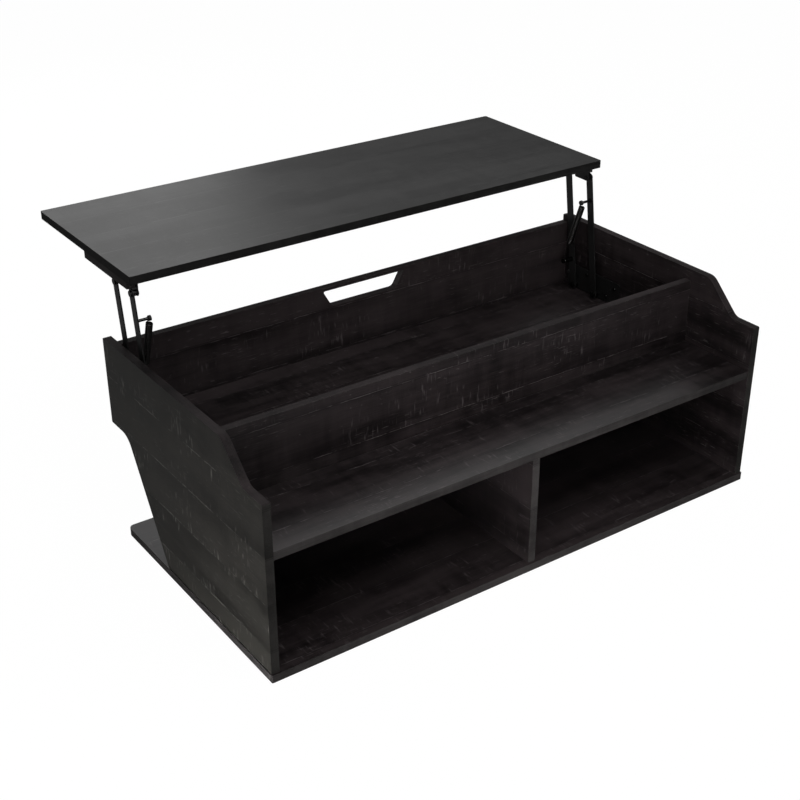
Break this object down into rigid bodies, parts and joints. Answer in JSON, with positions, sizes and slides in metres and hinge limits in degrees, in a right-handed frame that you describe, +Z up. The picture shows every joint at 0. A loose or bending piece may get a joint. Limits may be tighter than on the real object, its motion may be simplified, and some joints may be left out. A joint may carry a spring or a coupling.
{
  "type": "lift top coffee table",
  "caption": "Rectangular coffee table with stepped open shelf, cubbies, rear storage box with hand hole, and a tabletop that rises and swings back on spring-assisted steel arms.",
  "frame": {"origin": "centre of the base footprint, on the floor", "axes": "+X along the length, +Y to the rear where the person sits and the top moves, +Z up"},
  "size_m": [1.2, 0.916, 0.605],
  "materials": {
    "laminate_board": "charcoal distressed wood-grain laminate on particle board, satin",
    "black_steel": "black powder coat",
    "zinc_steel": "zinc plated",
    "spring_steel": "black oxide spring wire with a light oil sheen",
    "black_nylon": "moulded nylon",
    "bumper_rubber": "soft black rubber",
    "pad_plastic": "moulded plastic glide",
    "beech_dowel": "fluted beech"
  },
  "bodies": {
    "cabinet": {"arm_stop_pins": "black_steel", "back_panel": "laminate_board", "base_board": "laminate_board", "base_pivot_pins": "zinc_steel", "base_pivot_spacers": "zinc_steel", "bracket_screws": "zinc_steel", "cam_lock_bolts": "zinc_steel", "cam_lock_discs": "zinc_steel", "centre_partition": "laminate_board", "closing_bumpers": "bumper_rubber", "confirmat_screws": "zinc_steel", "floor_pads": "pad_plastic", "left_base_bracket": "black_steel", "left_side_panel": "laminate_board", "lower_back_panel": "laminate_board", "right_base_bracket": "black_steel", "right_side_panel": "laminate_board", "shelf_board": "laminate_board", "storage_front_board": "laminate_board", "wood_dowels": "beech_dowel"},
    "lift_top": {"tabletop_board": "laminate_board", "left_top_cleat": "laminate_board", "right_top_cleat": "laminate_board", "left_top_bracket": "black_steel", "right_top_bracket": "black_steel", "top_pivot_pins": "zinc_steel", "top_bracket_screws": "zinc_steel", "cleat_screws": "zinc_steel"},
    "left_front_arm": {"left_front_arm": "black_steel", "left_upper_spring_stud": "zinc_steel"},
    "left_rear_arm": {"left_rear_arm": "black_steel", "left_lower_spring_stud": "zinc_steel"},
    "left_spring_lower": {"left_spring_coil": "spring_steel"},
    "left_spring_upper": {"left_spring_upper_hook": "spring_steel", "left_spring_bush": "black_nylon"},
    "right_front_arm": {"right_front_arm": "black_steel", "right_upper_spring_stud": "zinc_steel"},
    "right_rear_arm": {"right_rear_arm": "black_steel", "right_lower_spring_stud": "zinc_steel"},
    "right_spring_lower": {"right_spring_coil": "spring_steel"},
    "right_spring_upper": {"right_spring_upper_hook": "spring_steel", "right_spring_bush": "black_nylon"}
  },
  "joints": [
    {"name": "lift", "type": "hinge", "parent": "cabinet", "child": "left_front_arm", "pos_m": [-0.569, 0.185, 0.284], "axis": [1, 0, 0], "range_deg": [0, 73.41]},
    {"name": "left_rear_arm_swing", "type": "hinge", "parent": "cabinet", "child": "left_rear_arm", "pos_m": [-0.569, 0.256, 0.284], "axis": [1, 0, 0], "range_deg": [0, 73.43]},
    {"name": "right_front_arm_swing", "type": "hinge", "parent": "cabinet", "child": "right_front_arm", "pos_m": [0.569, 0.185, 0.284], "axis": [1, 0, 0], "range_deg": [0, 73.43]},
    {"name": "right_rear_arm_swing", "type": "hinge", "parent": "cabinet", "child": "right_rear_arm", "pos_m": [0.569, 0.256, 0.284], "axis": [1, 0, 0], "range_deg": [0, 73.43]},
    {"name": "top_level", "type": "hinge", "parent": "left_front_arm", "child": "lift_top", "pos_m": [-0.569, 0.22396, 0.5612], "axis": [1, 0, 0], "range_deg": [-73.43, 0]},
    {"name": "left_spring_swing", "type": "hinge", "parent": "left_rear_arm", "child": "left_spring_lower", "pos_m": [-0.5435, 0.26491, 0.34738], "axis": [1, 0, 0], "range_deg": [-17.51, 0]},
    {"name": "left_spring_stretch", "type": "slide", "parent": "left_spring_lower", "child": "left_spring_upper", "axis": [0, -0.2915, 0.9566], "range_m": [0, 0.06101]},
    {"name": "right_spring_swing", "type": "hinge", "parent": "right_rear_arm", "child": "right_spring_lower", "pos_m": [0.5435, 0.26491, 0.34738], "axis": [1, 0, 0], "range_deg": [-17.51, 0]},
    {"name": "right_spring_stretch", "type": "slide", "parent": "right_spring_lower", "child": "right_spring_upper", "axis": [0, -0.2915, 0.9566], "range_m": [0, 0.06101]}
  ],
  "couplings": [
    {"joint": "left_rear_arm_swing", "follows": "lift", "ratio": 1},
    {"joint": "right_front_arm_swing", "follows": "lift", "ratio": 1},
    {"joint": "right_rear_arm_swing", "follows": "lift", "ratio": 1},
    {"joint": "top_level", "follows": "lift", "ratio": -1},
    {"joint": "left_spring_swing", "follows": "lift", "ratio": -0.23822},
    {"joint": "left_spring_stretch", "follows": "lift", "m_per_rad": 0.047466},
    {"joint": "right_spring_swing", "follows": "lift", "ratio": -0.23822},
    {"joint": "right_spring_stretch", "follows": "lift", "m_per_rad": 0.047466}
  ]
}
